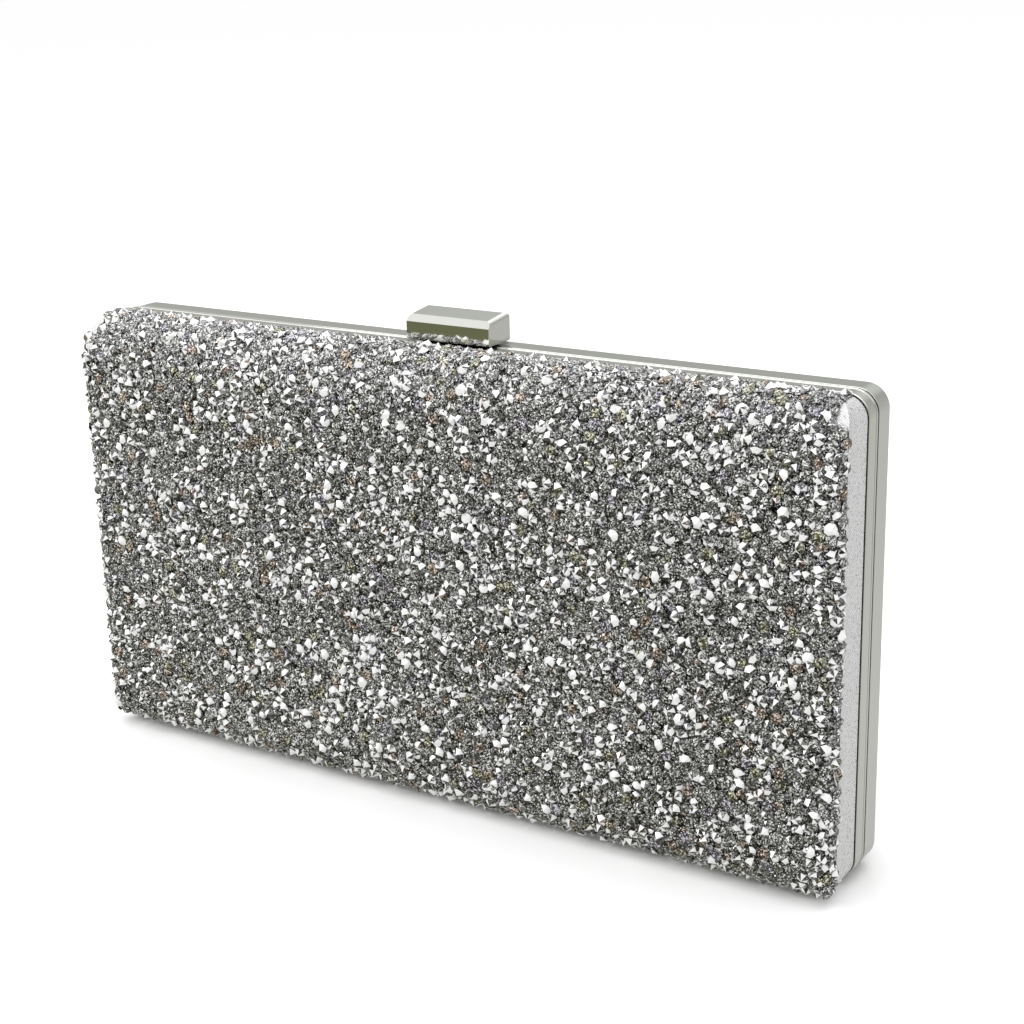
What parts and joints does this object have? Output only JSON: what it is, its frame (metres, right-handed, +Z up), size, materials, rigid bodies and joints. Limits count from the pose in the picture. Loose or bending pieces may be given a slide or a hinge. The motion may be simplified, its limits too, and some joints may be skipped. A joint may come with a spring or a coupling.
{
  "type": "evening bag",
  "caption": "Rigid box clutch of two crystal-covered trays in a hinged polished metal frame, closed by a lever clasp on top.",
  "frame": {"origin": "on the surface that the bag stands on, under the middle of the parting line", "axes": "+X along the bag's length, -Y to the front, +Z up"},
  "size_m": [0.2016, 0.038, 0.1129],
  "materials": {
    "nickel_plate": "polished nickel plate",
    "hinge_steel": "bright steel",
    "spring_steel": "spring steel",
    "tray_plastic": "moulded ABS",
    "glitter_fabric": "silver metallic-thread fabric",
    "crystals": "foil-backed faceted crystals set in resin",
    "lining_foam": "thin foam",
    "satin_lining": "silver-grey satin"
  },
  "bodies": {
    "rear_half": {"rear_frame": "nickel_plate", "clasp_base": "nickel_plate", "left_hinge_pin": "hinge_steel", "right_hinge_pin": "hinge_steel", "clasp_pin": "hinge_steel", "clasp_rivets": "hinge_steel", "rear_tray": "tray_plastic", "rear_fabric_cover": "glitter_fabric", "rear_crystal_sheet": "crystals", "rear_foam_pad": "lining_foam", "rear_lining": "satin_lining", "lining_pocket": "satin_lining"},
    "front_half": {"front_frame": "nickel_plate", "front_tray": "tray_plastic", "front_fabric_cover": "glitter_fabric", "front_crystal_sheet": "crystals", "front_foam_pad": "lining_foam", "front_lining": "satin_lining"},
    "clasp_lever": {"clasp_block": "nickel_plate", "clasp_tongue": "hinge_steel", "clasp_spring": "spring_steel"}
  },
  "joints": [
    {"name": "main_hinge", "type": "hinge", "parent": "rear_half", "child": "front_half", "pos_m": [0, 0, 0.0011], "axis": [1, 0, 0], "range_deg": [0, 75]},
    {"name": "clasp_lift", "type": "hinge", "parent": "rear_half", "child": "clasp_lever", "pos_m": [0, 0.003, 0.1087], "axis": [-1, 0, 0], "range_deg": [0, 20], "stiffness_Nm_per_rad": 0.05, "springref_deg": -5.73}
  ]
}
